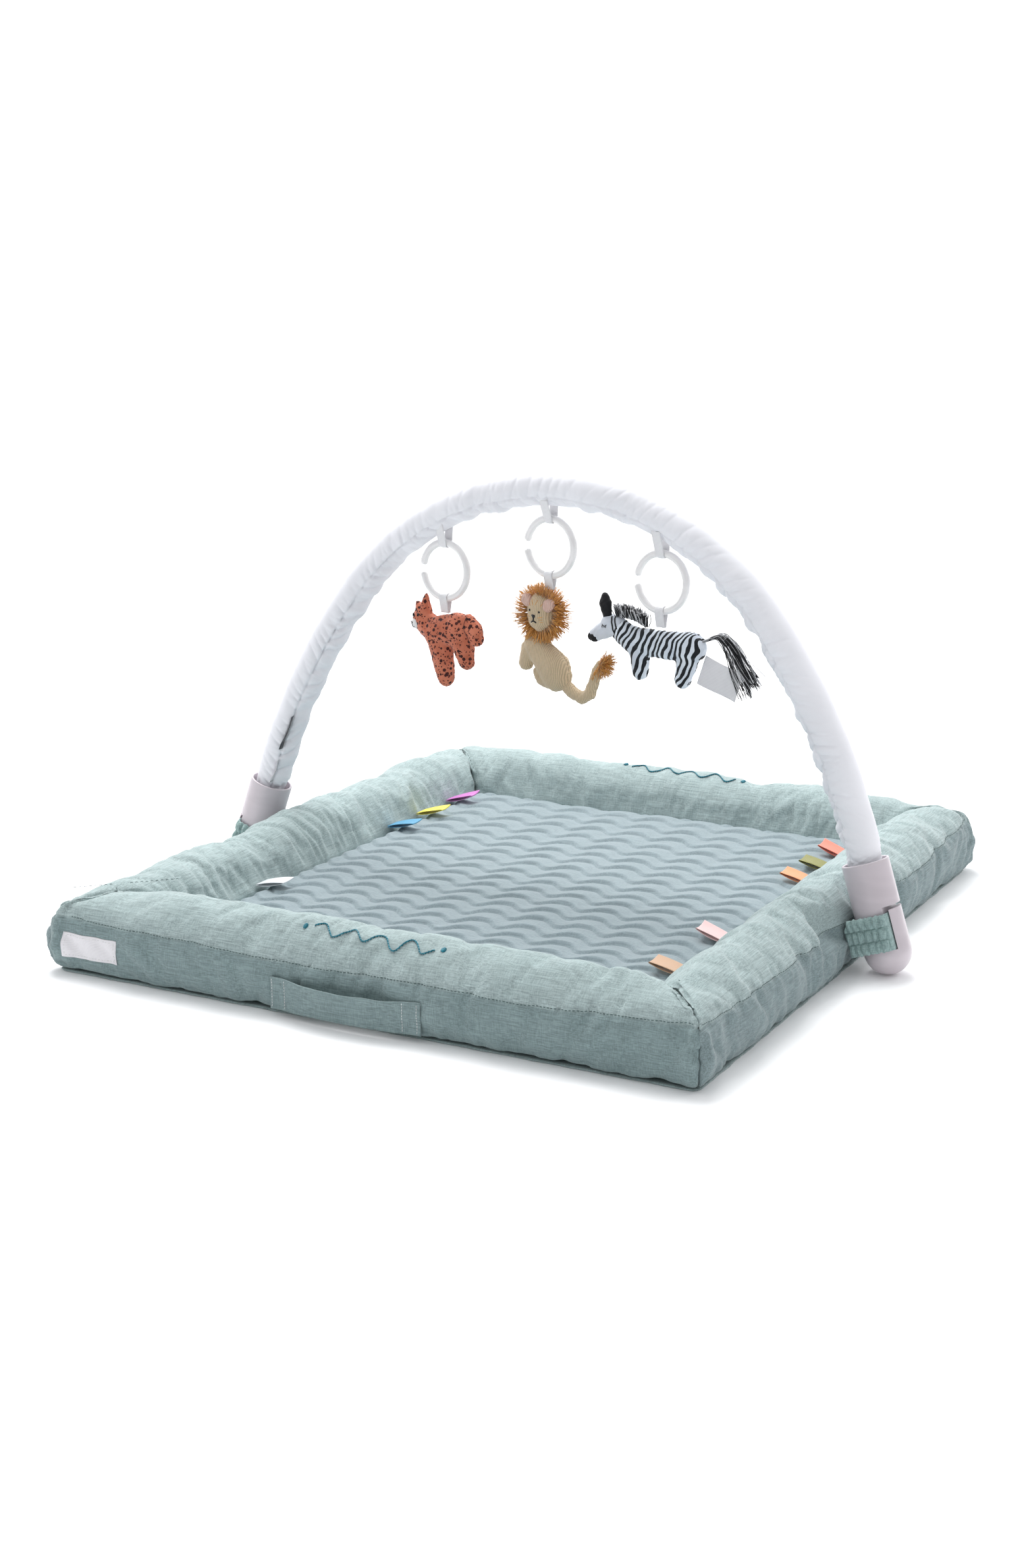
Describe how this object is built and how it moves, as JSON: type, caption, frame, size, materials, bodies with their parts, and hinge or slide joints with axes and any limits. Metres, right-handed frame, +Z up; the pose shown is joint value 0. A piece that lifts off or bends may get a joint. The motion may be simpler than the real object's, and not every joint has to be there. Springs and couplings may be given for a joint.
{
  "type": "activity play gym",
  "caption": "Padded rectangular play mat with a raised quilted well and a removable arch that carries open rings with soft hanging animal toys.",
  "frame": {"origin": "on the floor, under the middle of the mat", "axes": "+X along the arch's span, from its left foot to its right foot seen from the front; +Y towards the back; +Z up"},
  "size_m": [0.8586, 0.8534, 0.5053],
  "materials": {
    "chambray": "slubbed sage chambray",
    "quilt": "quilted chambray",
    "wadding": "polyester wadding",
    "label_satin": "woven satin",
    "ribbon_blue": "satin ribbon",
    "ribbon_yellow": "satin ribbon",
    "ribbon_magenta": "satin ribbon",
    "ribbon_white": "satin ribbon",
    "ribbon_coral": "satin ribbon",
    "ribbon_olive": "satin ribbon",
    "ribbon_orange": "satin ribbon",
    "ribbon_pink": "satin ribbon",
    "ribbon_tan": "satin ribbon",
    "tube_plastic": "extruded plastic",
    "foam": "soft foam",
    "sleeve_cotton": "plain woven cotton",
    "foot_plastic": "satin-gloss moulding",
    "black_ribbon": "satin ribbon",
    "white_ribbon": "woven ribbon",
    "ring_plastic": "gloss moulding",
    "leopard_print": "spotted knit",
    "white_felt": "felt",
    "lion_knit": "rib knit",
    "lion_fringe": "cut fringe",
    "zebra_print": "striped cotton",
    "zebra_yarn": "yarn"
  },
  "bodies": {
    "mat": {"base_panel": "chambray", "pad_wadding": "wadding", "quilted_panel": "quilt", "bolster_cover_front": "chambray", "bolster_cover_right": "chambray", "bolster_cover_back": "chambray", "bolster_cover_left": "chambray", "bolster_fill_front": "wadding", "bolster_fill_right": "wadding", "bolster_fill_back": "wadding", "bolster_fill_left": "wadding", "carry_handle": "chambray", "front_label": "label_satin", "tag_magenta": "ribbon_magenta", "tag_yellow": "ribbon_yellow", "tag_blue": "ribbon_blue", "tag_white": "ribbon_white", "tag_coral": "ribbon_coral", "tag_olive": "ribbon_olive", "tag_orange": "ribbon_orange", "tag_pink": "ribbon_pink", "tag_tan": "ribbon_tan", "strap_left": "chambray", "strap_right": "chambray"},
    "arch": {"arch_tube": "tube_plastic", "arch_foam": "foam", "arch_sleeve": "sleeve_cotton", "foot_left": "foot_plastic", "foot_right": "foot_plastic", "side_tag": "black_ribbon", "care_label": "label_satin", "hang_loop_left": "white_ribbon", "hang_loop_centre": "white_ribbon", "hang_loop_right": "white_ribbon"},
    "ring_left": {"ring_left": "ring_plastic"},
    "ring_centre": {"ring_centre": "ring_plastic"},
    "ring_right": {"ring_right": "ring_plastic"},
    "leopard": {"leopard_ribbon": "white_ribbon", "leopard_body": "leopard_print", "leopard_head": "leopard_print", "leopard_muzzle": "white_felt"},
    "lion": {"lion_ribbon": "white_ribbon", "lion_head": "lion_knit", "lion_mane": "lion_fringe", "lion_body": "lion_knit", "lion_tail": "lion_knit", "lion_tuft": "lion_fringe"},
    "zebra": {"zebra_ribbon": "white_ribbon", "zebra_body": "zebra_print", "zebra_head": "zebra_print", "zebra_mane": "zebra_yarn", "zebra_tail": "zebra_yarn", "zebra_label": "label_satin"}
  },
  "joints": [
    {"name": "arch_tilt", "type": "hinge", "parent": "mat", "child": "arch", "pos_m": [0, -0.009, 0.0253], "axis": [1, 0, 0], "range_deg": [-30, 30], "deforming": ["strap_left", "strap_right"]},
    {"name": "ring_left_swing", "type": "hinge", "parent": "arch", "child": "ring_left", "pos_m": [-0.14, 0.0109, 0.41827], "axis": [0.9877, -0.1564, 0], "range_deg": [-45, 45]},
    {"name": "ring_centre_swing", "type": "hinge", "parent": "arch", "child": "ring_centre", "pos_m": [-0.0075, 0.01262, 0.45337], "axis": [0.9877, -0.1564, 0], "range_deg": [-45, 45]},
    {"name": "ring_right_swing", "type": "hinge", "parent": "arch", "child": "ring_right", "pos_m": [0.128, 0.0112, 0.42436], "axis": [0.9877, -0.1564, 0], "range_deg": [-45, 45]},
    {"name": "leopard_swing", "type": "hinge", "parent": "ring_left", "child": "leopard", "pos_m": [-0.14, 0.0109, 0.35567], "axis": [0.9877, -0.1564, 0], "range_deg": [-45, 45]},
    {"name": "lion_swing", "type": "hinge", "parent": "ring_centre", "child": "lion", "pos_m": [-0.0075, 0.01262, 0.39077], "axis": [0.9877, -0.1564, 0], "range_deg": [-45, 45]},
    {"name": "zebra_swing", "type": "hinge", "parent": "ring_right", "child": "zebra", "pos_m": [0.128, 0.0112, 0.36176], "axis": [0.9877, -0.1564, 0], "range_deg": [-45, 45]}
  ]
}
